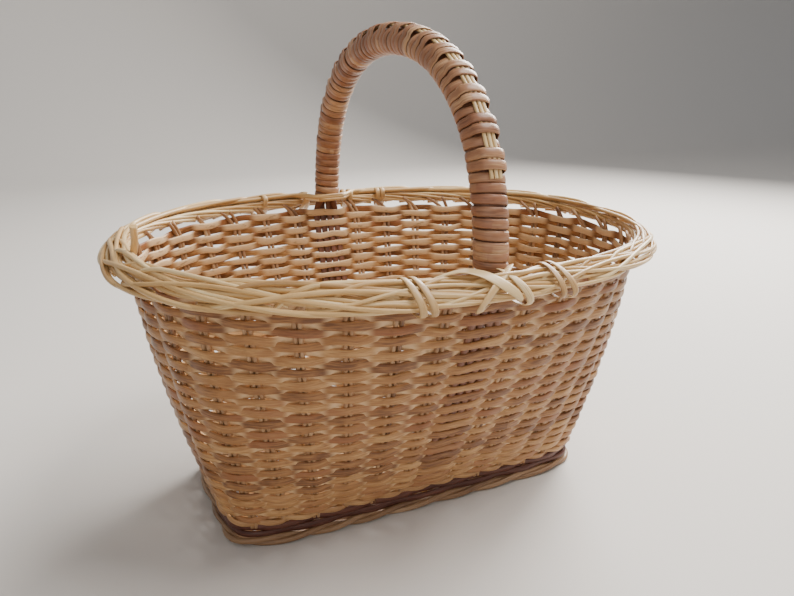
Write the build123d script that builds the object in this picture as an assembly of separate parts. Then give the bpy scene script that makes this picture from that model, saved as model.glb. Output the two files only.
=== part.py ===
from build123d import *
import math
import os

os.makedirs("parts", exist_ok=True)

# Woven willow shopping basket with a bow handle, in millimetres.
# X runs along the basket, -Y is its front, +Z is up, and it stands on z = 0.

# ---- driving dimensions -------------------------------------------------
foot_half_length = 143.0       # middle of the wall at its lowest row
foot_half_width = 65.5
foot_squareness = 6.9          # superellipse power: 2 is an ellipse, 10 nearly a rectangle
top_half_length = 184.0        # middle of the wall at its highest row
top_half_width = 139.5
top_squareness = 2.3
weave_bottom = 17.0
weave_top = 186.0
wall_bulge = 5.0               # the wall is rounded outward by this at mid height
weave_bands = 8                # each band stands for about five rows of weaving
band_gap = 0.15

outline_points = 72
stake_places = 36              # two of them are taken by the handle's rods
stake_radius = 1.35
stake_spread = 1.55            # each stake is two rods, this far either side of its place
skin_inner = 2.0               # the weaving passes outside and inside the stakes
skin_outer = 3.9
stake_top = 194.0

foot_height = 7.0
band_bottom = 7.2
band_middle = 12.1
base_inset = 9.4
base_stick_radius = 1.7
base_stick_count = 7
base_stick_middle = 7.4

rod_radius = 2.3               # border rods
border_inner = (2.8, 199.5)    # outward from the top outline, and height
border_outer = (17.8, 189.0)
border_count = 4
border_cut_count = 2           # these, on the inside, stop short of the handle's feet
tie_width = 6.0
tie_thickness = 1.4

handle_half_span = 136.0
handle_apex = 330.5
handle_rod_radius = 3.5
handle_rod_x = 3.8
handle_rod_y = 3.7
wrap_half_width = 11.2
wrap_half_depth = 10.5
wrap_thickness = 1.2
wrap_start = 212.0
list_radius = 1.1
list_spacing = 2.7


# ---- outlines -----------------------------------------------------------
def superellipse(half_length, half_width, power):
    """Points at equal steps round the outline, from the middle of the front towards +X."""
    steps = 3600
    dense = []
    for step in range(steps + 1):
        angle = 2 * math.pi * step / steps
        sine, cosine = math.sin(angle), math.cos(angle)
        dense.append((math.copysign(abs(sine) ** (2 / power), sine) * half_length,
                      -math.copysign(abs(cosine) ** (2 / power), cosine) * half_width))
    travelled = [0.0]
    for first, second in zip(dense, dense[1:]):
        travelled.append(travelled[-1] + math.dist(first, second))
    points, segment = [], 0
    for place in range(outline_points):
        wanted = travelled[-1] * place / outline_points
        while travelled[segment + 1] < wanted:
            segment += 1
        share = (wanted - travelled[segment]) / (travelled[segment + 1] - travelled[segment])
        points.append(tuple(a + (b - a) * share for a, b in zip(dense[segment], dense[segment + 1])))
    return points


foot_outline = superellipse(foot_half_length, foot_half_width, foot_squareness)
top_outline = superellipse(top_half_length, top_half_width, top_squareness)


def wall_outline(height, outward):
    """The wall's outline at a height, moved outward: a shallow curve joins foot and top."""
    share = max(0.0, (height - weave_bottom) / (weave_top - weave_bottom))
    middle = [(a[0] + (b[0] - a[0]) * share, a[1] + (b[1] - a[1]) * share)
              for a, b in zip(foot_outline, top_outline)]
    return move_outward(middle, outward + wall_bulge * 4 * share * (1 - share))


def move_outward(points, distance):
    """Each point moved square to the line through its two neighbours."""
    moved = []
    for index, (x, y) in enumerate(points):
        before, after = points[index - 1], points[(index + 1) % len(points)]
        along_x, along_y = after[0] - before[0], after[1] - before[1]
        length = math.hypot(along_x, along_y)
        moved.append((x + along_y / length * distance, y - along_x / length * distance))
    return moved


def closed_wire(points, height):
    return Wire([Edge.make_spline([Vector(x, y, height) for x, y in points], periodic=True)])


def filled(points, bottom, top):
    """A straight-sided solid inside an outline."""
    return extrude(Face(closed_wire(points, bottom)), amount=top - bottom, dir=(0, 0, 1))


def level_ring(points, inner, outer, bottom, top):
    """A straight-sided ring that follows an outline."""
    return filled(move_outward(points, outer), bottom, top) - filled(
        move_outward(points, inner), bottom - 1, top + 1)


def flared_ring(inner, outer, bottom, top):
    """A ring that follows the sloping wall between two heights."""
    outside = Solid.make_loft([closed_wire(wall_outline(z, outer), z) for z in (bottom, top)], ruled=True)
    inside = Solid.make_loft([closed_wire(wall_outline(z, inner), z) for z in (bottom, top)], ruled=True)
    return outside - inside


def place_on_wall(place, height):
    """A point of the wall's middle at a stake place, with the directions along and out."""
    points = wall_outline(height, 0)
    position = (place % stake_places) * outline_points / stake_places
    index = int(position)
    share = position - index
    first, second = points[index], points[(index + 1) % outline_points]
    x, y = first[0] + (second[0] - first[0]) * share, first[1] + (second[1] - first[1]) * share
    before, after = points[index - 1], points[(index + 2) % outline_points]
    along = Vector(after[0] - before[0], after[1] - before[1], 0).normalized()
    return Vector(x, y, height), along, Vector(along.Y, -along.X, 0)


def rod(start, end, radius):
    """A straight round rod between two points."""
    run = end - start
    plane = Plane(origin=start, z_dir=run)
    return plane * Cylinder(radius, run.length, align=(Align.CENTER, Align.CENTER, Align.MIN))


def wall_rod(place, sideways, bottom, top, radius):
    """A rod that lies in the middle of the curved wall, beside a stake place."""
    through = []
    for step in range(5):
        point, along, _ = place_on_wall(place, bottom + (top - bottom) * step / 4)
        through.append(point + along * sideways)
    path = Edge.make_spline(through)
    return sweep(Plane(origin=path @ 0, z_dir=path % 0) * Circle(radius), path=path)


# ---- base ---------------------------------------------------------------
def base_weave(bottom, top):
    return filled(move_outward(foot_outline, -base_inset), bottom, top)


def base_sticks():
    half_width = foot_half_width - base_inset - 9
    half_length = foot_half_length - base_inset - 11
    sticks = []
    for index in range(base_stick_count):
        y = -half_width + 2 * half_width * index / (base_stick_count - 1)
        sticks.append(rod(Vector(-half_length, y, base_stick_middle),
                          Vector(half_length, y, base_stick_middle), base_stick_radius))
    return Compound(sticks)


# ---- stakes and weaving -------------------------------------------------
def stakes(places):
    """Pairs of upright rods, held between the two faces of the weaving."""
    rods = []
    for place in places:
        for sideways in (-stake_spread, stake_spread):
            rods.append(wall_rod(place, sideways, weave_bottom + 0.6, stake_top, stake_radius))
    return Compound(rods)


def weave_band(number):
    """The strands outside the stakes and the strands inside them, over one band."""
    height = (weave_top - weave_bottom) / weave_bands
    bottom = weave_bottom + 0.3 + height * number
    top = weave_bottom + 0.3 + height * (number + 1) - band_gap
    return Compound([flared_ring(skin_inner, skin_outer, bottom, top),
                     flared_ring(-skin_outer, -skin_inner, bottom, top)])


# ---- border -------------------------------------------------------------
border_run = math.hypot(border_outer[0] - border_inner[0], border_outer[1] - border_inner[1])
border_tilt = math.degrees(math.atan2(border_outer[1] - border_inner[1],
                                      border_outer[0] - border_inner[0]))


def border_rod(number):
    """One of the rods that lie side by side, sloping out and down from the top."""
    share = number / (border_count - 1)
    outward = border_inner[0] + (border_outer[0] - border_inner[0]) * share
    height = border_inner[1] + (border_outer[1] - border_inner[1]) * share
    ring = level_ring(top_outline, outward - rod_radius, outward + rod_radius,
                      height - rod_radius, height + rod_radius)
    if number < border_cut_count:
        for side in (-1, 1):
            ring -= Pos(0, side * (top_half_width + 4), height) * Box(30, 22, 30)
    return ring


def rim_tie(place, width=tie_width):
    """A flat strip bound round the border rods."""
    point, along, outward = place_on_wall(place, weave_top)
    middle = Vector(point.X, point.Y, 0) + outward * ((border_inner[0] + border_outer[0]) / 2)
    middle += Vector(0, 0, (border_inner[1] + border_outer[1]) / 2)
    plane = Plane(origin=middle, x_dir=outward, z_dir=along * -1)
    plane = plane * Rot(0, 0, border_tilt) if plane.y_dir.Z > 0 else plane * Rot(0, 0, -border_tilt)
    clear_length = border_run + 2 * rod_radius + 3.4
    clear_height = 2 * rod_radius + 3.6
    hollow = RectangleRounded(clear_length, clear_height, 2.0)
    band = RectangleRounded(clear_length + 2 * tie_thickness, clear_height + 2 * tie_thickness, 3.0)
    return extrude(plane * (band - hollow), amount=width / 2, both=True)


# ---- handle -------------------------------------------------------------
def handle_path(with_feet):
    """Half the bow from the front, mirrored: upright leg, shoulder, level top."""
    half = [(handle_half_span - 2.5, 245.0), (107.0, 292.6), (46.0, handle_apex)]
    radii = [75.0, 105.0, 125.0]
    if with_feet:
        half = [(handle_half_span + 1.5, 190.0), (handle_half_span, 207.0)] + half
        radii = [20.0] + radii
    else:
        half = [(handle_half_span - 0.3, wrap_start)] + half
    points = [(0, -y, z) for y, z in half] + [(0, y, z) for y, z in reversed(half)]
    return FilletPolyline(*points, radius=radii + radii[::-1])


def along_bow(path, profile):
    """A profile carried along the bow: its x is across, its -y is the outer face."""
    start = Plane(origin=path @ 0, x_dir=(1, 0, 0), z_dir=path % 0)
    return sweep(start * profile, path=path)


def handle_rod(across, inward):
    profile = Pos(across * handle_rod_x, inward * handle_rod_y) * Circle(handle_rod_radius)
    return along_bow(handle_path(True), profile)


def handle_wrap():
    profile = Ellipse(wrap_half_width, wrap_half_depth) - Ellipse(
        wrap_half_width - wrap_thickness, wrap_half_depth - wrap_thickness)
    return along_bow(handle_path(False), profile)


def handle_listing():
    """Three fine rods on the outer face of the wrapping."""
    outer_face = -(wrap_half_depth + list_radius + 0.05)
    return Compound([along_bow(handle_path(False), Pos(across * list_spacing, outer_face) * Circle(list_radius))
                     for across in (-1, 0, 1)])


def handle_slips(place):
    """Four thin rods that carry one foot of the bow down inside the wall."""
    return Compound([wall_rod(place, sideways, weave_bottom + 0.6, weave_top, stake_radius)
                     for sideways in (-9.0, -3.0, 3.0, 9.0)])


def foot_leaf():
    """A broad pale strip laid over the border beside the front foot of the bow."""
    lens = Ellipse(22, 7)
    return Pos(-17, -(top_half_width + 12.5), 206.6) * extrude(lens, amount=1.6)


def border_rod_end():
    """The cut end of one border rod, left standing at the left end of the rim."""
    point, _, outward = place_on_wall(27.5, weave_top)
    start = Vector(point.X, point.Y, 203.2) + outward * 1.5
    return rod(start, start + Vector(1, -6, 17), 2.0)


# ---- the pieces ---------------------------------------------------------
quarter = stake_places // 4
pieces = {
    "foot_rod_outer": level_ring(foot_outline, -1.6, 5.0, 0, foot_height),
    "foot_rod_inner": level_ring(foot_outline, -8.6, -2.0, 0, foot_height),
    "dark_band_lower": level_ring(foot_outline, -3.4, 1.4, band_bottom, band_middle - 0.1),
    "dark_band_upper": level_ring(foot_outline, -3.4, 1.4, band_middle, weave_bottom),
    "base_weave_lower": base_weave(3.0, 5.5),
    "base_sticks": base_sticks(),
    "base_weave_upper": base_weave(9.3, 11.8),
    "stakes_front": stakes(list(range(-5, 0)) + list(range(1, 6))),
    "stakes_right": stakes(range(6, 13)),
    "stakes_back": stakes(list(range(13, 18)) + list(range(19, 24))),
    "stakes_left": stakes(range(24, 31)),
    "handle_slips_front": handle_slips(0),
    "handle_slips_back": handle_slips(stake_places // 2),
    "handle_rod_1": handle_rod(-1, -1),
    "handle_rod_2": handle_rod(1, -1),
    "handle_rod_3": handle_rod(-1, 1),
    "handle_rod_4": handle_rod(1, 1),
    "handle_wrap": handle_wrap(),
    "handle_listing": handle_listing(),
    "handle_foot_leaf": foot_leaf(),
    "handle_lashing_front": Compound([rim_tie(-0.72), rim_tie(0.72)]),
    "rim_tie_front_left": rim_tie(-1.68, 12),
    "rim_tie_front_right": rim_tie(1.5, 12),
    "rim_tie_back_1": rim_tie(16.3),
    "rim_tie_back_2": rim_tie(17.3),
    "rim_tie_back_3": rim_tie(18.6),
    "rim_tie_back_4": rim_tie(20.3),
    "border_rod_end": border_rod_end(),
}
for number in range(weave_bands):
    pieces[f"side_weave_{number + 1}"] = weave_band(number)
for number in range(border_count):
    pieces[f"border_rod_{number + 1}"] = border_rod(number)

for name, shape in pieces.items():
    export_step(shape, f"parts/{name}.step")
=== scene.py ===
import math

import bpy
import numpy as np
from mathutils import Matrix


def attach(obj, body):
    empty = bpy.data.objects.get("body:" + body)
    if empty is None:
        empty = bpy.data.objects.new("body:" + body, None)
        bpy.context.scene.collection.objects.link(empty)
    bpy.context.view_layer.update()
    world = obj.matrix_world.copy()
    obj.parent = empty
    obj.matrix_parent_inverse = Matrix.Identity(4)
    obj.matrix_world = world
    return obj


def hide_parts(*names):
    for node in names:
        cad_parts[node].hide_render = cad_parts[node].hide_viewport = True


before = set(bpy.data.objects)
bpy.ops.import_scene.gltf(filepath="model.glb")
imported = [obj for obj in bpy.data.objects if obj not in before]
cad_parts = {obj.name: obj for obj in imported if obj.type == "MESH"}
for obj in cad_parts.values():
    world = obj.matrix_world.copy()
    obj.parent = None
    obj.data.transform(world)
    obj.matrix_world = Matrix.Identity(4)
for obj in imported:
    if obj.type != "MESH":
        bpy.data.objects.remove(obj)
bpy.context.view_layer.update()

MM = 0.001                                    # one millimetre; the shapes below are in mm

# ---- Floor, light and camera ---------------------------------------------------------------
# A plain pale floor that curves up into a wall behind. One large soft window light stands to
# the right and behind, a soft light hangs above, and a weak warm fill comes from the front.
sweep_turn = np.linspace(0, math.pi / 2, 24)
profile_y = np.concatenate([[-4.0], 1.6 + 0.8 * np.sin(sweep_turn), [2.4]])
profile_z = np.concatenate([[0.0], 0.8 - 0.8 * np.cos(sweep_turn), [4.0]])
floor_x, floor_y = np.meshgrid([-5.0, 5.0], profile_y)
floor_z = np.repeat(profile_z[:, None], 2, axis=1)
floor_mesh = bpy.data.meshes.new("floor")
floor_faces = [[2 * i, 2 * i + 1, 2 * i + 3, 2 * i + 2] for i in range(len(profile_y) - 1)]
floor_mesh.from_pydata(np.stack([floor_x, floor_y, floor_z], -1).reshape(-1, 3).tolist(), [],
                       floor_faces)
floor_mesh.polygons.foreach_set("use_smooth", [True] * len(floor_mesh.polygons))
floor = bpy.data.objects.new("floor", floor_mesh)
bpy.context.collection.objects.link(floor)
floor_paint = bpy.data.materials.new("floor_paint")
floor_paint.use_nodes = True
floor_shader = floor_paint.node_tree.nodes["Principled BSDF"]
floor_shader.inputs["Base Color"].default_value = (0.66, 0.63, 0.60, 1)
floor_shader.inputs["Roughness"].default_value = 0.75
floor_mesh.materials.append(floor_paint)

world = bpy.data.worlds.new("room")
bpy.context.scene.world = world
world.use_nodes = True
world.node_tree.nodes["Background"].inputs["Color"].default_value = (0.93, 0.96, 1.0, 1)
world.node_tree.nodes["Background"].inputs["Strength"].default_value = 0.34


def area_light(name, place, target, size, power, colour):
    """A square area light at a place, turned to a target point."""
    lamp = bpy.data.lights.new(name, "AREA")
    lamp.size, lamp.energy, lamp.color = size, power, colour
    holder = bpy.data.objects.new(name, lamp)
    bpy.context.collection.objects.link(holder)
    holder.location = place
    aim = np.array(target) - np.array(place)
    pan = math.atan2(aim[1], aim[0]) - math.pi / 2
    tilt = math.atan2(aim[2], math.hypot(aim[0], aim[1])) + math.pi / 2
    holder.rotation_euler = (tilt, 0, pan)


area_light("window", (1.15, 0.75, 1.0), (0, 0, 0.15), 0.9, 62, (1.0, 0.97, 0.92))
area_light("ceiling", (0.55, -0.35, 1.5), (0, 0, 0.15), 0.8, 26, (1.0, 0.96, 0.90))
area_light("fill", (-0.7, -1.2, 0.7), (0, 0, 0.1), 1.0, 4, (1.0, 0.88, 0.74))

camera_place = np.array([-228.4, -479.7, 315.8]) * MM
camera_yaw, camera_pitch, camera_roll = 0.454, 0.313, 0.014
camera_focus = 0.915                          # focal length over picture width
forward = np.array([math.sin(camera_yaw) * math.cos(camera_pitch),
                    math.cos(camera_yaw) * math.cos(camera_pitch), -math.sin(camera_pitch)])
level_right = np.array([math.cos(camera_yaw), -math.sin(camera_yaw), 0.0])
level_up = np.cross(level_right, forward)
camera_right = math.cos(camera_roll) * level_right + math.sin(camera_roll) * level_up
camera_up = -math.sin(camera_roll) * level_right + math.cos(camera_roll) * level_up
camera_data = bpy.data.cameras.new("camera")
camera_data.lens = camera_data.sensor_width * camera_focus
camera_data.clip_start = 0.01
camera = bpy.data.objects.new("camera", camera_data)
bpy.context.collection.objects.link(camera)
placing = np.eye(4)
placing[:3] = np.stack([camera_right, camera_up, -forward, camera_place], -1)
camera.matrix_world = Matrix(placing.tolist())
bpy.context.scene.camera = camera

# ---- Foot rope -----------------------------------------------------------------------------
# Two peeled rods twisted round each other run right round the underside and hide the ends of
# the base sticks. A second, thinner pair lies just inside it. The basket stands on both.
dice = np.random.default_rng(27)
PLACES = 36                                   # stake places round the wall, two for the handle
weave_bottom, weave_top = 17.0, 186.0         # heights of the wall's weaving
wall_bulge = 5.0                              # how far the wall is rounded outward at mid height


def outline(half_length, half_width, power):
    """|x/a|^n + |y/b|^n = 1 at equal steps along its length: a function from turns, counted
    from the middle of the front towards +X, to x and y in millimetres."""
    angle = np.linspace(0, 2 * np.pi, 7201)   # one step for each twentieth of a degree
    x = half_length * np.sign(np.sin(angle)) * np.abs(np.sin(angle)) ** (2 / power)
    y = -half_width * np.sign(np.cos(angle)) * np.abs(np.cos(angle)) ** (2 / power)
    run = np.concatenate([[0], np.cumsum(np.hypot(np.diff(x), np.diff(y)))])
    share = run / run[-1]
    return lambda turn: (np.interp(turn % 1, share, x), np.interp(turn % 1, share, y))


foot_outline = outline(143.0, 65.5, 6.9)
top_outline = outline(184.0, 139.5, 2.3)


def on_wall(turn, height, outward):
    """Place on the basket's side: the line from foot outline to top outline at this turn, bulged
    by 4 b s (1 - s), then outward square to the outline. Gives points and outward directions."""
    turn, height, outward = np.broadcast_arrays(turn, height, outward)
    rise = np.maximum(0, (height - weave_bottom) / (weave_top - weave_bottom))

    def middle(t):
        foot_x, foot_y = foot_outline(t)
        top_x, top_y = top_outline(t)
        return foot_x + (top_x - foot_x) * rise, foot_y + (top_y - foot_y) * rise

    x, y = middle(turn)
    ahead, behind = middle(turn + 0.005), middle(turn - 0.005)
    along_x, along_y = ahead[0] - behind[0], ahead[1] - behind[1]
    size = np.hypot(along_x, along_y)
    out = np.stack([along_y / size, -along_x / size, np.zeros_like(x)], -1)
    outward = outward + wall_bulge * 4 * rise * (1 - rise)
    return np.stack([x, y, height], -1) + out * outward[..., None], out


def unit(vectors):
    return vectors / np.maximum(np.linalg.norm(vectors, axis=-1, keepdims=True), 1e-9)


def redness(tone):
    """A second random value, 0 to 1, from a rod's tone: the tail of the tone times 7.31."""
    return (tone * 7.31) % 1


def strands(name, path, up, width, thick, tone, material,
            closed=False, sides=8, flat=1.0, crown=None, boxy=1.0):
    """Carries a rounded section along many paths at once. A point of rod r at step s is
    path + side * cos(a) * width / 2 + up * sin(a) * thick / 2, with side square to the path and
    to up, the lower half made shallower by flat, and cos and sin raised to the power boxy.
    path and up are (rods, steps, 3) in mm; width and thick are (rods, steps) in mm;
    tone is (rods,), and crown is (rods, steps), 0 to 1, kept for the material."""
    rods, steps = path.shape[:2]
    if closed:
        heading = unit(np.roll(path, -1, 1) - np.roll(path, 1, 1))
    else:
        heading = unit(np.gradient(path, axis=1))
    side = unit(np.cross(heading, up))
    raised = np.cross(side, heading)
    width, thick = np.broadcast_to(width, (rods, steps)), np.broadcast_to(thick, (rods, steps))
    angle = np.arange(sides) * 2 * np.pi / sides
    across, rising = (np.sign(part) * np.abs(part) ** boxy
                      for part in (np.cos(angle), np.sin(angle)))
    rising = np.where(rising < 0, rising * flat, rising)
    points = (path[:, :, None] + side[:, :, None] * (across * width[..., None] / 2)[..., None]
              + raised[:, :, None] * (rising * thick[..., None] / 2)[..., None])
    lengths = np.linalg.norm(np.diff(path, axis=1), axis=-1)
    travelled = np.concatenate([np.zeros((rods, 1)), np.cumsum(lengths, 1)], 1)

    index = np.arange(rods * steps * sides).reshape(rods, steps, sides)
    later = np.roll(index, -1, 1) if closed else index[:, 1:]
    here = index if closed else index[:, :-1]
    quads = np.stack([here, later, np.roll(later, -1, 2), np.roll(here, -1, 2)], -1).reshape(-1, 4)
    loops, starts = quads.ravel(), np.arange(len(quads)) * 4
    if not closed:
        caps = np.concatenate([index[:, 0], index[:, -1, ::-1]])
        starts = np.concatenate([starts, len(loops) + np.arange(len(caps)) * sides])
        loops = np.concatenate([loops, caps.ravel()])

    mesh = bpy.data.meshes.new(name)
    mesh.vertices.add(index.size)
    mesh.vertices.foreach_set("co", (points * MM).astype(np.float32).ravel())
    mesh.loops.add(len(loops))
    mesh.loops.foreach_set("vertex_index", loops.astype(np.int32))
    mesh.polygons.add(len(starts))
    mesh.polygons.foreach_set("loop_start", starts.astype(np.int32))
    smooth = np.ones(len(starts), bool)
    smooth[len(quads):] = False
    mesh.polygons.foreach_set("use_smooth", smooth)
    mesh.update(calc_edges=True)

    # grain: a circle round the section and the distance along the rod, in centimetres, which
    # starts far from that of the other rods so that no two are alike
    offset = np.asarray(tone)[:, None] * 97.0
    grain = np.zeros((rods, steps, sides, 3), np.float32)
    grain[..., 0], grain[..., 1] = np.cos(angle), np.sin(angle)
    grain[..., 2] = (travelled / 10 + offset)[..., None]
    mesh.attributes.new("grain", "FLOAT_VECTOR", "POINT").data.foreach_set("vector", grain.ravel())
    rod = np.ones((rods, steps, sides, 4), np.float32)
    rod[..., 0] = np.asarray(tone)[:, None, None]
    rod[..., 1] = redness(rod[..., 0])
    # blue is crown, 0 inside to 1 outside, or 0.5 when none is given; where it is low the material
    # paints light
    rod[..., 2] = 0.5 if crown is None else crown[..., None]
    mesh.attributes.new("rod", "FLOAT_COLOR", "POINT").data.foreach_set("color", rod.ravel())
    mesh.materials.append(material)
    piece = bpy.data.objects.new(name, mesh)
    bpy.context.collection.objects.link(piece)
    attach(piece, "root")
    return piece


def willow_group():
    """Willow along its grain: slow drift of tone along a rod, fine lengthwise streaks, knots and
    bruises, a redder tone on some rods, and a paler painted light where 'rod' blue is low."""
    group = bpy.data.node_groups.new("willow_grain", "ShaderNodeTree")
    for way, kind, labels in (
            ("INPUT", "NodeSocketColor", ("Dark", "Body", "Pale", "Red", "Inner Painted Light")),
            ("INPUT", "NodeSocketFloat", ("Streaks", "Bruises", "Reddened")),
            ("OUTPUT", "NodeSocketColor", ("Color",)),
            ("OUTPUT", "NodeSocketFloat", ("Roughness", "Height"))):
        for label in labels:
            group.interface.new_socket(label, in_out=way, socket_type=kind)
    nodes, link = group.nodes, group.links.new
    given, out = nodes.new("NodeGroupInput"), nodes.new("NodeGroupOutput")
    grain, rod = nodes.new("ShaderNodeAttribute"), nodes.new("ShaderNodeAttribute")
    grain.attribute_name, rod.attribute_name = "grain", "rod"
    parts = nodes.new("ShaderNodeSeparateColor")
    link(rod.outputs["Color"], parts.inputs[0])

    def stretched(scale, detail):
        """Noise on the grain coordinates, scaled round and along the rod."""
        scaled, noise = nodes.new("ShaderNodeVectorMath"), nodes.new("ShaderNodeTexNoise")
        scaled.operation = "MULTIPLY"
        scaled.inputs[1].default_value = scale
        noise.inputs["Scale"].default_value = 1.0
        noise.inputs["Detail"].default_value = detail
        link(grain.outputs["Vector"], scaled.inputs[0])
        link(scaled.outputs[0], noise.inputs["Vector"])
        return noise.outputs["Fac"]

    def combine(operation, first, second):
        step = nodes.new("ShaderNodeMath")
        step.operation = operation
        for socket, value in zip(step.inputs, (first, second)):
            if isinstance(value, float):
                socket.default_value = value
            else:
                link(value, socket)
        return step.outputs[0]

    def ramp_between(value, low, high):
        spread = nodes.new("ShaderNodeMapRange")
        spread.interpolation_type = "SMOOTHSTEP"
        spread.inputs["From Min"].default_value = low
        spread.inputs["From Max"].default_value = high
        link(value, spread.inputs["Value"])
        return spread.outputs["Result"]

    def blended(amount, first, second):
        mix = nodes.new("ShaderNodeMix")
        mix.data_type = "RGBA"
        factor, colour_a, colour_b = (mix.inputs[k] for k in (0, 6, 7))
        for socket, value in ((factor, amount), (colour_a, first), (colour_b, second)):
            link(value, socket)
        return mix.outputs[2]

    drift = stretched((0.5, 0.5, 0.35), 2.0)
    streak = stretched((4.5, 4.5, 0.9), 3.0)
    fine = stretched((12.0, 12.0, 5.0), 2.0)
    spot = stretched((1.6, 1.6, 1.3), 2.0)
    streaked = combine("MULTIPLY", combine("SUBTRACT", streak, 0.5), given.outputs["Streaks"])
    rod_tone, rod_redness, rod_crown = parts.outputs
    tone = combine("ADD", combine("MULTIPLY", rod_tone, 0.62), combine("MULTIPLY", drift, 0.9))
    tone = combine("ADD", combine("SUBTRACT", tone, 0.27), combine("MULTIPLY", streaked, 1.6))
    colour = blended(ramp_between(tone, 0.0, 0.5), given.outputs["Dark"], given.outputs["Body"])
    colour = blended(ramp_between(tone, 0.5, 1.0), colour, given.outputs["Pale"])
    red = combine("MULTIPLY", ramp_between(rod_redness, 0.62, 0.9), given.outputs["Reddened"])
    red = combine("MULTIPLY", red, ramp_between(drift, 0.35, 0.6))
    colour = blended(red, colour, given.outputs["Red"])
    # painted light: where a row passes inside a stake ('rod' blue low), it is blended to a paler
    # colour, as if lit through the gaps
    colour = blended(ramp_between(rod_crown, 0.6, 0.2), colour, given.outputs["Inner Painted Light"])
    bruise = combine("MULTIPLY", ramp_between(spot, 0.62, 0.74), given.outputs["Bruises"])
    colour = blended(bruise, colour, given.outputs["Dark"])
    link(colour, out.inputs["Color"])
    rough = combine("ADD", combine("MULTIPLY", streak, 0.22), combine("MULTIPLY", bruise, 0.2))
    link(combine("ADD", rough, 0.30), out.inputs["Roughness"])
    height = combine("ADD", combine("MULTIPLY", streak, 0.7), combine("MULTIPLY", fine, 0.3))
    link(combine("SUBTRACT", height, combine("MULTIPLY", bruise, 0.3)), out.inputs["Height"])
    return group


willow_grain = willow_group()


def willow(name, dark, body, pale, red, inner_painted_light=None,
           streaks=0.5, bruises=0.4, reddened=0.3, bump=0.25, sheen=0.0):
    """A willow finish: the shared grain with this piece's own colours."""
    material = bpy.data.materials.new(name)
    material.use_nodes = True
    nodes, link = material.node_tree.nodes, material.node_tree.links.new
    shader, grain = nodes["Principled BSDF"], nodes.new("ShaderNodeGroup")
    grain.node_tree = willow_grain
    for label, colour in (("Dark", dark), ("Body", body), ("Pale", pale), ("Red", red),
                          ("Inner Painted Light", inner_painted_light or body)):
        grain.inputs[label].default_value = (*colour, 1)
    for label, amount in (("Streaks", streaks), ("Bruises", bruises), ("Reddened", reddened)):
        grain.inputs[label].default_value = amount
    raised = nodes.new("ShaderNodeBump")
    raised.inputs["Strength"].default_value = bump
    raised.inputs["Distance"].default_value = 0.6 * MM
    link(grain.outputs["Height"], raised.inputs["Height"])
    link(raised.outputs["Normal"], shader.inputs["Normal"])
    link(grain.outputs["Color"], shader.inputs["Base Color"])
    link(grain.outputs["Roughness"], shader.inputs["Roughness"])
    shader.inputs["Specular IOR Level"].default_value = 0.45
    shader.inputs["Coat Weight"].default_value = sheen
    shader.inputs["Coat Roughness"].default_value = 0.3
    return material


foot_willow = willow("foot_willow", (0.11, 0.05, 0.024), (0.29, 0.165, 0.085), (0.48, 0.31, 0.18),
                     (0.22, 0.10, 0.05))
rope_middle = 3.85                            # height of the rope's middle line


def twisted_pair(name, outward, reach, rod_width, turns):
    """Two rods wound round a level ring: outward and height go round a small circle of radius
    reach, the second rod half a turn behind the first."""
    turn = np.linspace(0, 1, 900, endpoint=False)
    wander = (0.35 * np.sin(2 * np.pi * (3 * turn + 0.2))
              + 0.3 * np.sin(2 * np.pi * (7 * turn + 0.6)))
    angle = 2 * np.pi * turns * turn + wander + np.array([[0], [np.pi]])
    path, out = on_wall(turn[None], rope_middle + reach * np.sin(angle),
                        outward + reach * np.cos(angle))
    width = rod_width * (1 + 0.05 * np.sin(2 * np.pi * 5 * turn))
    return strands(name, path, out, width[None], width[None], dice.random(2), foot_willow,
                   closed=True, sides=10)


foot_rope = twisted_pair("foot_rope", 0.9, 1.75, 4.2, 11)
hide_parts("foot_rod_outer")
foot_rope_inner = twisted_pair("foot_rope_inner", -6.6, 1.7, 4.1, 14)
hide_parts("foot_rod_inner")

# ---- Base ----------------------------------------------------------------------------------
# Eight straight sticks run the length of the base. Split strands are woven across them, over
# one and under the next, out to the foot rope.
base_willow = willow("base_willow", (0.20, 0.09, 0.035), (0.42, 0.23, 0.10), (0.60, 0.40, 0.20),
                     (0.38, 0.16, 0.07))
STICKS = 8
stick_gap = 13.4
stick_y = (np.arange(STICKS) - (STICKS - 1) / 2) * stick_gap
base_half_length, base_half_width = 136.0, 58.5
base_height = 7.6                             # of the sticks' middle lines


def base_reach(position, half_own, half_other):
    """How far the base's rounded rectangle reaches at a position: b (1 - |x/a|^6)^(1/6)."""
    return half_other * (1 - np.minimum(np.abs(position / half_own), 0.995) ** 6) ** (1 / 6)


stick_end = base_reach(stick_y, base_half_width, base_half_length)
stick_x = np.linspace(-1, 1, 40)[None] * stick_end[:, None]
stick_path = np.stack([stick_x, np.repeat(stick_y[:, None], 40, 1),
                       np.full_like(stick_x, base_height)], -1)
level = np.broadcast_to(np.array([0.0, 0, 1]), stick_path.shape)
base_sticks = strands("base_sticks_round", stick_path, level, 4.2, 3.6, dice.random(STICKS),
                      base_willow)
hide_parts("base_sticks")

base_rows, base_row_gap = 54, 5.05
row_x = (np.arange(base_rows) - (base_rows - 1) / 2) * base_row_gap
row_x = row_x + dice.normal(0, 0.2, base_rows)
row_end = base_reach(row_x, base_half_length, base_half_width)
row_y = np.linspace(-1, 1, 150)[None] * row_end[:, None]
row_wave = np.cos(np.pi * (row_y / stick_gap + np.arange(base_rows)[:, None]))
row_path = np.stack([np.repeat(row_x[:, None], 150, 1) + 0.3 * np.sin(row_y / 17 + row_x[:, None]),
                     row_y, base_height + 2.5 * row_wave], -1)
level = np.broadcast_to(np.array([0.0, 0, 1]), row_path.shape)
base_weave = strands("base_weave_crossing", row_path, level, 5.0, 2.0, dice.random(base_rows),
                     base_willow)
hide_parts("base_weave_lower", "base_weave_upper")

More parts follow.
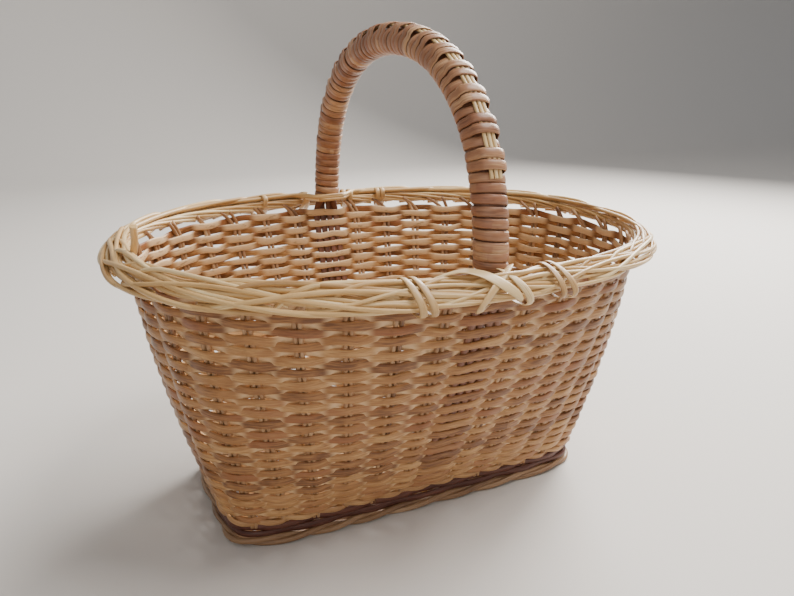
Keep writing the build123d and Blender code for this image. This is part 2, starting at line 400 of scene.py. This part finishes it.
# ---- Dark band -----------------------------------------------------------------------------
# Two rows of thick dark brown rod, boiled with the bark on, go round between the foot rope and
# the wall, one above the other, each waving a little out and in.
dark_willow = willow("dark_willow", (0.022, 0.007, 0.004), (0.075, 0.020, 0.011),
                     (0.16, 0.055, 0.03), (0.10, 0.022, 0.012), streaks=0.6, bruises=0.3,
                     bump=0.35, sheen=0.1)


def place_wave(turn, phase):
    """+1 outside a stake and -1 inside the next: cos(pi * place), held flat for the width of
    the handle's rods at the two handle places."""
    place = turn * PLACES
    from_handle = (place + PLACES / 4) % (PLACES / 2) - PLACES / 4
    near = np.abs(from_handle)
    rod_share = 0.36                          # how far the handle's rods reach, in places
    held = np.where(near < 1, np.clip((near - rod_share) / (1 - rod_share), 0, 1), near)
    parity = np.round((place - from_handle) / (PLACES / 2)) * (PLACES / 2)
    return np.cos(np.pi * (held + parity + phase))


def randing(heights, phases, middle, spans, width, jitter, steps):
    """Rows of weaving as closed paths: outward is middle + span * wave, each row wanders up and
    down, and it is a little narrower where it stands furthest out or in. Gives the paths, their
    outward directions, the widths, and 0 inside to 1 outside for the material."""
    rows = len(heights)
    turn = np.linspace(0, 1, steps, endpoint=False)[None] + dice.random((rows, 1))

    def slow(size, counts):
        """A sum of sines, each with its own random height and start: counts are waves a turn."""
        return sum(dice.normal(0, size, (rows, 1))
                   * np.sin(2 * np.pi * (k * turn + dice.random((rows, 1)))) for k in counts)

    wave = place_wave(turn, phases[:, None])
    height = heights[:, None] + slow(jitter, (3, 8, 19, 41))
    path, out = on_wall(turn, height, middle + spans[:, None] * wave)
    full = np.abs(wave) ** 0.7
    broad = width[:, None] * (1.08 - 0.08 * full) * (1 + slow(0.05, (5, 13, 23, 37)))
    # the last value, 0 inside to 1 outside, sets where the weave's painted light goes
    return path, out, broad, (wave + 1) / 2


dark_path, dark_out, dark_width, _ = randing(
    np.array([9.7, 14.4]), np.array([0.0, 1.0]), 0.4, np.array([0.9, 0.9]), np.array([5.2, 5.4]),
    0.14, PLACES * 14)
for row, node in enumerate(("dark_band_lower", "dark_band_upper")):
    one = slice(row, row + 1)
    band = strands(node + "_rod", dark_path[one], dark_out[one], dark_width[one], 3.0,
                   dice.random(1), dark_willow, closed=True, sides=10)
    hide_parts(node)

# ---- Stakes --------------------------------------------------------------------------------
# Each stake is two thin rods side by side. They rise from the foot, hold the weaving, and lean
# over above it to become the border.
stake_willow = willow("stake_willow", (0.09, 0.035, 0.018), (0.36, 0.20, 0.10), (0.56, 0.36, 0.20),
                      (0.28, 0.12, 0.06))
perimeter = 950.0                             # of the wall at mid height
stake_bottom, stake_bend, stake_top = 14.0, 181.0, 195.5
handle_places = (0, PLACES // 2)              # the handle's slips stand there instead of a stake
places_of_side = {"front": range(-5, 6), "right": range(6, 13),
                  "back": range(13, 24), "left": range(24, 31)}
for side_name, places in places_of_side.items():
    places = [place for place in places if place not in handle_places]
    centre = np.repeat(np.array(places, float), 2)[:, None] / PLACES
    beside = np.tile([-1.65, 1.65], len(places))[:, None]
    height = np.linspace(stake_bottom, stake_top, 80)[None]
    lean = (dice.normal(0, 0.35, centre.shape)
            * np.sin(height / 60 + dice.random(centre.shape) * 6))
    bent = np.maximum(0, height - stake_bend) / (stake_top - stake_bend)
    lean = lean + (9.0 + dice.normal(0, 3.0, centre.shape)) * bent ** 1.6
    path, out = on_wall(centre + beside / perimeter + lean / perimeter, height,
                        -1.6 * np.maximum(0, height - weave_top) / 9)
    stake = strands("stakes_" + side_name + "_rods", path, out, 3.05, 2.9,
                    dice.random(len(centre)), stake_willow)
    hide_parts("stakes_" + side_name)

# ---- Side weave ----------------------------------------------------------------------------
# Forty rows of split willow. Each passes outside one stake and inside the next, and the row
# above does the opposite. The rows are beaten closer together near the foot. A two-strand
# twist starts the wall and leaves a scalloped edge over the dark band.
# The weave's last colour is painted light: the stretches of each row that pass inside the stakes
# are painted paler, as if lit through the gaps.
weave_willow = willow("weave_willow", (0.17, 0.064, 0.020), (0.37, 0.172, 0.058),
                      (0.55, 0.31, 0.125), (0.28, 0.092, 0.034), inner_painted_light=(0.72, 0.49, 0.27),
                      streaks=0.85, bruises=0.45, reddened=0.6, bump=0.35, sheen=0.05)
ROWS = 40
row_share = (np.arange(ROWS) + 0.5) / ROWS
row_height = (weave_bottom + 4.0
              + (weave_top - weave_bottom - 2.2) * (0.88 * row_share + 0.12 * row_share ** 2))
row_phase = np.arange(ROWS) % 2.0
row_span = 2.3 + dice.normal(0, 0.12, ROWS)
row_width = 4.9 + 0.8 * row_share + dice.normal(0, 0.25, ROWS)
row_tone = dice.random(ROWS)
weave_path, weave_out, weave_width, weave_crown = randing(
    row_height, row_phase, 0.0, row_span, row_width, 0.3, PLACES * 12)
BANDS = 8
for band in range(BANDS):
    rows = slice(band * ROWS // BANDS, (band + 1) * ROWS // BANDS)
    piece = strands(f"weave_rows_{band + 1}", weave_path[rows], weave_out[rows],
                    weave_width[rows], 1.9, row_tone[rows], weave_willow,
                    closed=True, sides=12, crown=weave_crown[rows], boxy=0.7)
    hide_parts(f"side_weave_{band + 1}")

wale_turn = np.linspace(0, 1, PLACES * 16, endpoint=False)[None]
wale_angle = 2 * np.pi * (wale_turn * PLACES / 2 + 0.25) + np.array([[0], [np.pi]])
wale_path, wale_out = on_wall(wale_turn, weave_bottom + 2.2 - 1.6 * np.sin(wale_angle),
                              0.3 + 2.6 * np.cos(wale_angle))
wale = strands("foot_wale", wale_path, wale_out, 4.4, 2.4, np.array([0.75, 0.6]), weave_willow,
               closed=True)

# ---- Handle rods ---------------------------------------------------------------------------
# Four rods are the bow's core. Their thinned feet go down inside the wall, side by side, front
# and back, and above the border they draw together into a round bundle.
core_willow = willow("core_willow", (0.06, 0.02, 0.012), (0.17, 0.065, 0.035), (0.28, 0.13, 0.07),
                     (0.14, 0.04, 0.022))
handle_half_span, handle_spring, handle_apex = 136.0, 176.7, 330.4


def bow(angle):
    """The bow's middle line: y = -h cos(a)^0.94 and z = spring + rise sin(a)^0.7, a from 0
    at the front to pi at the back."""
    cosine, sine = np.cos(angle), np.sin(angle)
    y = -handle_half_span * np.sign(cosine) * np.abs(cosine) ** 0.94
    return y, handle_spring + (handle_apex - handle_spring) * np.abs(sine) ** 0.70


foot_height = np.linspace(20, 222, 90)
lower_angle = np.linspace(0, 1.2, 400)
leg_angle = np.interp(foot_height, bow(lower_angle)[1], lower_angle)
bow_reach = -bow(leg_angle)[0]                # how far out the bow stands at each height
wall_reach = -on_wall(0.0, foot_height, 0.0)[0][:, 1]


def eased(share):
    """0 to 1, with a soft start and end: 3 s^2 - 2 s^3."""
    return share * share * (3 - 2 * share)


gather = eased(np.clip((foot_height - 183) / 24, 0, 1))
middle_reach = wall_reach + (bow_reach - wall_reach) * gather
spread = (np.array([-9.2, -3.1, 3.1, 9.2])[:, None] * (1 - gather)
          + np.array([-3.9, -3.9, 3.9, 3.9])[:, None] * gather)
depth = np.array([-3.8, 3.8, 3.8, -3.8])[:, None] * gather
for side_name, sign in (("front", -1), ("back", 1)):
    path = np.stack([spread, sign * (middle_reach + depth),
                     np.broadcast_to(foot_height, spread.shape)], -1)
    out = np.broadcast_to(np.array([0.0, sign, 0.0]), path.shape)
    slips = strands(f"handle_feet_{side_name}", path, out, 5.6 + 1.4 * gather, 3.0 + 3.8 * gather,
                    dice.random(4), core_willow, sides=10)
    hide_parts(f"handle_slips_{side_name}")

core_end = 0.06                               # where on the bow its bundle starts, in radians
core_angle = np.linspace(core_end, np.pi - core_end, 220)
core_y, core_z = bow(core_angle)
core_path = np.stack([np.zeros_like(core_y), core_y, core_z], -1)[None]
across = np.broadcast_to(np.array([1.0, 0, 0]), core_path.shape)
handle_core = strands("handle_core_bundle", core_path, across, 15.6, 18.8, dice.random(1),
                      core_willow, sides=20)
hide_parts("handle_rod_1", "handle_rod_2", "handle_rod_3", "handle_rod_4")

# ---- Border --------------------------------------------------------------------------------
# The peeled pale tops of the stakes are bent over to the right and plaited: long rods rise
# inside, cross down over their neighbours to the outer edge and are tucked under. Shorter ones
# start between them, fill the inner side, or loop up over the rest from the outer edge.
pale_willow = willow("pale_willow", (0.36, 0.19, 0.07), (0.62, 0.39, 0.16), (0.93, 0.77, 0.45),
                     (0.48, 0.26, 0.10), streaks=0.4, bruises=0.3, reddened=0.25, bump=0.18,
                     sheen=0.25)
rim_perimeter = 1040.0                        # of the weaving's top edge


def smooth_route(stations, steps):
    """A smooth curve through stations of (places on, outward, height): Catmull-Rom, that is on
    each span the cubic with slopes half the chord between its neighbours."""
    stations = np.array(stations, float)
    padded = np.concatenate([2 * stations[:1] - stations[1:2], stations,
                             2 * stations[-1:] - stations[-2:-1]])
    at = np.linspace(0, len(stations) - 1, steps)
    span = np.minimum(at.astype(int), len(stations) - 2)
    t = (at - span)[:, None]
    before, start, end, after = (padded[span + k] for k in range(4))
    return 0.5 * (2 * start + (end - before) * t
                  + (2 * before - 5 * start + 4 * end - after) * t ** 2
                  + (3 * start - before - 3 * end + after) * t ** 3)


def round_handle(turn, outward, height):
    """Moves a border rod clear of the handle's foot, by an amount that fades with
    exp(-(distance / 21 mm)^4): outside the front foot; inside the back foot if it runs high."""
    from_handle = ((turn + 0.25) % 0.5 - 0.25) * rim_perimeter
    near = np.exp(-(from_handle / 21.0) ** 4)
    high_at_back = (np.abs(turn % 1 - 0.5) < 0.25) * np.clip((height - 197.5) / 1.5, 0, 1)
    outer = np.maximum(outward, 9.0 + 0.35 * outward)
    return outward + near * (outer + (-14.0 - outer) * high_at_back - outward)


def border_rods(name, starts, route, rod_width, steps):
    """Rods that follow one route, each from its own place and a little out of line. The whole
    border is drawn narrower about its middle, by up to a fifth, round the place just right of
    the handle's front foot, fading with exp(-(places / 4.5)^2)."""
    count = len(starts)
    line = smooth_route(route, steps)
    wobble = [sum(dice.normal(0, size, (count, 1))
                  * np.sin(np.linspace(0, k, steps)[None] + 6 * dice.random((count, 1)))
                  for k in (2, 5, 9)) for size in (0.32, 0.24)]
    stretch = 1 + dice.normal(0, 0.04, (count, 1))
    start = starts[:, None] + dice.normal(0, 0.12, (count, 1))
    turn = (start + line[None, :, 0] * stretch) / PLACES
    narrow_place, middle_out, middle_height = 4.0, 10.0, 195.0
    from_narrow = (turn - narrow_place / PLACES + 0.5) % 1 - 0.5
    narrow = 1 - 0.2 * np.exp(-(from_narrow * PLACES / 4.5) ** 2)
    outward = middle_out + (line[None, :, 1] - middle_out + wobble[0]) * narrow
    height = middle_height + (line[None, :, 2] - middle_height + wobble[1]) * narrow
    outward = round_handle(turn, outward, height)
    path, out = on_wall(turn, weave_top, outward)
    path[..., 2] = height
    middle, _ = on_wall(turn, weave_top, 8.0)
    middle[..., 2] = 189.0
    taper = np.linspace(1.08, 0.88, steps)[None]
    width = rod_width * narrow * (1 + dice.normal(0, 0.07, (count, 1))) * taper
    return strands(name, path, unit(path - middle), width, width, dice.random(count), pale_willow,
                   sides=9)


# Each station of a route is the stake places on from the rod's own, how far out, and how high.
main_route = [(-0.3, 8.0, 190.5), (-0.12, 9.2, 195.5), (0.1, 8.6, 199.4), (0.45, 5.8, 202.0),
              (0.9, 3.3, 202.5), (2.2, 2.4, 201.7), (3.0, 4.4, 201.2), (3.8, 6.6, 199.9),
              (4.8, 7.4, 199.4), (5.6, 10.2, 197.2), (6.8, 11.4, 196.4), (7.6, 14.0, 193.8),
              (8.8, 15.0, 192.8), (9.6, 17.2, 190.4), (10.8, 17.4, 189.4), (11.6, 13.0, 188.4)]
short_route = [(-0.3, 8.0, 190.5), (-0.12, 9.8, 195.5), (0.12, 9.2, 200.2), (0.5, 6.8, 203.0),
               (1.1, 5.6, 203.2), (1.8, 6.6, 202.0), (2.5, 9.4, 200.0), (3.2, 12.4, 197.2),
               (3.9, 14.2, 194.6), (4.5, 13.0, 190.8)]
side_route = [(-0.6, 6.0, 193.5), (-0.2, 3.2, 192.4), (0.3, 1.4, 193.0), (1.0, 1.0, 195.0),
              (2.0, 1.2, 197.6), (3.0, 3.2, 197.4), (3.7, 6.4, 195.2), (4.2, 9.4, 192.0)]
over_route = [(-0.3, 11.0, 189.5), (0.1, 16.2, 190.8), (0.7, 15.6, 194.8), (1.4, 12.8, 198.6),
              (2.2, 11.2, 200.2), (3.0, 12.4, 199.0), (4.0, 15.6, 195.6), (5.0, 17.9, 192.2),
              (5.8, 17.9, 189.8), (6.4, 13.0, 188.4)]
every = np.arange(PLACES, dtype=float)
main_rods = border_rods("border_main_rods", every[::2], main_route, 3.4, 170)
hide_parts("border_rod_1", "border_rod_4")
short_rods = border_rods("border_short_rods", every[1::2], short_route, 3.3, 72)
side_rods = border_rods("border_side_rods", every + 0.1, side_route, 3.0, 48)
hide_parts("border_rod_2")
over_rods = border_rods("border_over_rods", every[::2] + 0.55, over_route, 3.2, 84)
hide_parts("border_rod_3")

# ---- Standing rod end ----------------------------------------------------------------------
# One border rod was cut long and its end stands up out of the left end of the rim.
end_route = smooth_route([(27.3, 5.0, 190.0), (27.44, 1.4, 198.0), (27.6, -0.2, 208.0),
                          (27.73, 0.4, 219.5)], 24)
end_path, _ = on_wall(end_route[None, :, 0] / PLACES, weave_top, end_route[None, :, 1])
end_path[..., 2] = end_route[None, :, 2]
backward = np.broadcast_to(np.array([0.0, 1, 0]), end_path.shape)
rod_end = strands("border_rod_end_cut", end_path, backward, 4.6, 4.4, np.array([0.8]),
                  pale_willow, sides=10)
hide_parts("border_rod_end")

# ---- Handle wrapping and listing -----------------------------------------------------------
# A flat brown strip is wound round the bow from end to end. Over the top and down both legs,
# three fine pale rods, the listing, are let in on the outer face: two turns go over them and
# the next goes under.
wrap_willow = willow("wrap_willow", (0.12, 0.042, 0.022), (0.33, 0.155, 0.078), (0.62, 0.39, 0.21),
                     (0.25, 0.08, 0.042), streaks=0.6, bruises=0.45, reddened=0.5, bump=0.3,
                     sheen=0.2)
wrap_end = 0.07                               # where on the bow the wrapping starts, in radians
dense_angle = np.linspace(wrap_end, np.pi - wrap_end, 4000)
dense_y, dense_z = bow(dense_angle)
dense_run = np.concatenate([[0], np.cumsum(np.hypot(np.diff(dense_y), np.diff(dense_z)))])


def along_handle(distance):
    """Point and outward direction of the bow at a distance from the front end of the wrapping."""
    def point(at):
        y = np.interp(at, dense_run, dense_y)
        return np.stack([np.zeros_like(y), y, np.interp(at, dense_run, dense_z)], -1)

    heading = unit(point(distance + 1.5) - point(distance - 1.5))
    outer = np.stack([np.zeros_like(distance), -heading[..., 2], heading[..., 1]], -1)
    return point(distance), outer


strip_pitch = 6.2
wrap_length = dense_run[-1]
turns = int(wrap_length / strip_pitch)
listed_from, listed_to = 8, turns - 9         # the turns between which the listing shows
wound = np.linspace(0, turns, turns * 28)     # turns so far, at 28 steps a turn
each_turn = np.arange(turns + 1)
number = np.floor(wound).astype(int)
round_angle = 2 * np.pi * wound               # 0 is the inner face, pi the outer face
slip = np.interp(wound, each_turn, dice.normal(0, 0.5, turns + 1))
centre, outer = along_handle(wound / turns * wrap_length + slip)
over_list = (number >= listed_from) & (number < listed_to) & (number % 3 != 2)
outer_share = eased(np.clip((-np.cos(round_angle) - 0.55) / 0.3, 0, 1))
unevenness = np.interp(wound, np.arange(turns * 2 + 1) / 2, dice.normal(0, 0.18, turns * 2 + 1))
lift = 0.25 + 2.75 * outer_share * over_list + unevenness
sideways = np.array([1.0, 0, 0])
half_wide, half_deep = 10.1, 8.6              # the wrapping's middle line round the bundle
radial = sideways * np.sin(round_angle)[:, None] - outer * np.cos(round_angle)[:, None]
wrap_path = (centre + sideways * (np.sin(round_angle) * (half_wide + lift))[:, None]
             - outer * (np.cos(round_angle) * (half_deep + lift))[:, None])
strip_width = 6.1 * (1 + np.interp(wound, each_turn, dice.normal(0, 0.07, turns + 1)))
strip_sides = 8
wrap = strands("handle_wrap_strip", wrap_path[None], radial[None], strip_width[None], 1.5,
               np.array([0.5]), wrap_willow, sides=strip_sides, flat=0.5)
# The strip is one length, but each turn has its own tone.
tone = np.interp(wound, each_turn, dice.random(turns + 1))
values = np.ones((len(wound), strip_sides, 4), np.float32)
values[..., 0], values[..., 1], values[..., 2] = tone[:, None], redness(tone)[:, None], 0.5
wrap.data.attributes["rod"].data.foreach_set("color", values.ravel())
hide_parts("handle_wrap")

pale_strip = willow("pale_strip", (0.40, 0.24, 0.09), (0.70, 0.50, 0.25), (0.92, 0.78, 0.50),
                    (0.54, 0.35, 0.16), streaks=0.4, bruises=0.2, reddened=0.2, bump=0.2,
                    sheen=0.25)
list_turn = np.linspace(listed_from + 0.3, listed_to - 0.2, 700)
list_centre, list_outer = along_handle(list_turn / turns * wrap_length)
list_rise = 9.9 + 0.25 - 0.25 * np.cos(2 * np.pi * (list_turn + 0.5) / 3)
list_path = np.stack([list_centre + sideways * offset
                      + list_outer * (list_rise - 0.035 * offset ** 2)[:, None]
                      for offset in (-2.9, 0.0, 2.9)])
listing = strands("handle_listing_rods", list_path, np.broadcast_to(list_outer, list_path.shape),
                  2.5, 2.0, np.array([0.3, 0.8, 0.55]), pale_strip)
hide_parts("handle_listing")

# ---- Ties, lashing and leaf strip ----------------------------------------------------------
# Flat split strips are bound round the border where it would spring apart. At the front foot
# of the bow two more cross, and one broad pale strip lies over the border in front of the foot.
tie_willow = willow("tie_willow", (0.32, 0.16, 0.06), (0.62, 0.40, 0.18), (0.82, 0.64, 0.37),
                    (0.48, 0.26, 0.11), bruises=0.25, sheen=0.2)


def binding(places, drifts, half_long, half_short):
    """Strips round the border: outward and height go round an ellipse tilted down to the
    outside, while the place drifts along by drift."""
    middle_out, middle_height, tilt = 10.0, 194.6, -0.6
    places, drifts, half_long, half_short = (
        np.array(values)[:, None] for values in (places, drifts, half_long, half_short))
    angle = np.linspace(-0.55, 2 * np.pi - 0.65, 56)[None]
    along, square = half_long * np.cos(angle), half_short * np.sin(angle)
    outward = middle_out + along * math.cos(tilt) - square * math.sin(tilt)
    turn = (places - drifts * np.cos(angle) * 0.5) / PLACES
    path, _ = on_wall(turn, weave_top, outward)
    middle, _ = on_wall(turn, weave_top, middle_out)
    path[..., 2] = middle_height + along * math.sin(tilt) + square * math.cos(tilt)
    middle[..., 2] = middle_height
    return path, unit(path - middle)


# Each tie's two strips: their stake places, and how far each drifts along as it goes round.
ties = {"rim_tie_front_left": ([-1.9, -1.7], [-0.24, -0.26]),
        "rim_tie_front_right": ([1.14, 1.38], [-0.1, -0.2]),
        "rim_tie_back_1": ([16.06, 16.2], [0.1, 0.15]),
        "rim_tie_back_2": ([17.14, 17.3], [0.08, 0.2]),
        "rim_tie_back_3": ([18.56, 18.72], [0.12, -0.15]),
        "rim_tie_back_4": ([19.9, 20.04], [0.2, -0.1])}
for node, (places, drifts) in ties.items():
    half_long, half_short = 12.9 + 0.6 * dice.random(2), 6.4 + 0.5 * dice.random(2)
    path, out = binding(places, drifts, half_long, half_short)
    tie = strands(node + "_strips", path, out, 4.4, 1.2, dice.random(2), tie_willow, flat=0.5)
    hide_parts(node)

lash_path, lash_out = binding([-0.16, 0.16], [1.1, -0.45], [13.8, 13.2], [7.6, 7.2])
lashing = strands("handle_lashing_strips", lash_path, lash_out, 4.8, 1.2, np.array([0.7, 0.9]),
                  tie_willow, flat=0.5)
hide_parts("handle_lashing_front")

leaf_steps = 48
leaf_route = smooth_route([(-1.5, 1.6, 199.5), (-1.25, 2.4, 202.6), (-0.85, 5.6, 205.6),
                           (-0.5, 11.0, 204.4), (-0.2, 16.4, 199.8), (0.08, 20.2, 193.6),
                           (0.2, 20.6, 189.4)], leaf_steps)
leaf_path, _ = on_wall(leaf_route[None, :, 0] / PLACES, weave_top, leaf_route[None, :, 1])
leaf_path[..., 2] = leaf_route[None, :, 2]
leaf_middle = leaf_path.copy()                # it faces away from a line low in the border
leaf_middle[..., 1:] = (-144.0, weave_top)
leaf_width = 2.5 + 5.6 * np.sin(np.linspace(0.15, np.pi - 0.25, leaf_steps)) ** 1.3
leaf = strands("foot_leaf_strip", leaf_path, unit(leaf_path - leaf_middle), leaf_width[None], 1.4,
               np.array([0.62]), pale_strip, sides=12, flat=0.5)
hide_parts("handle_foot_leaf")
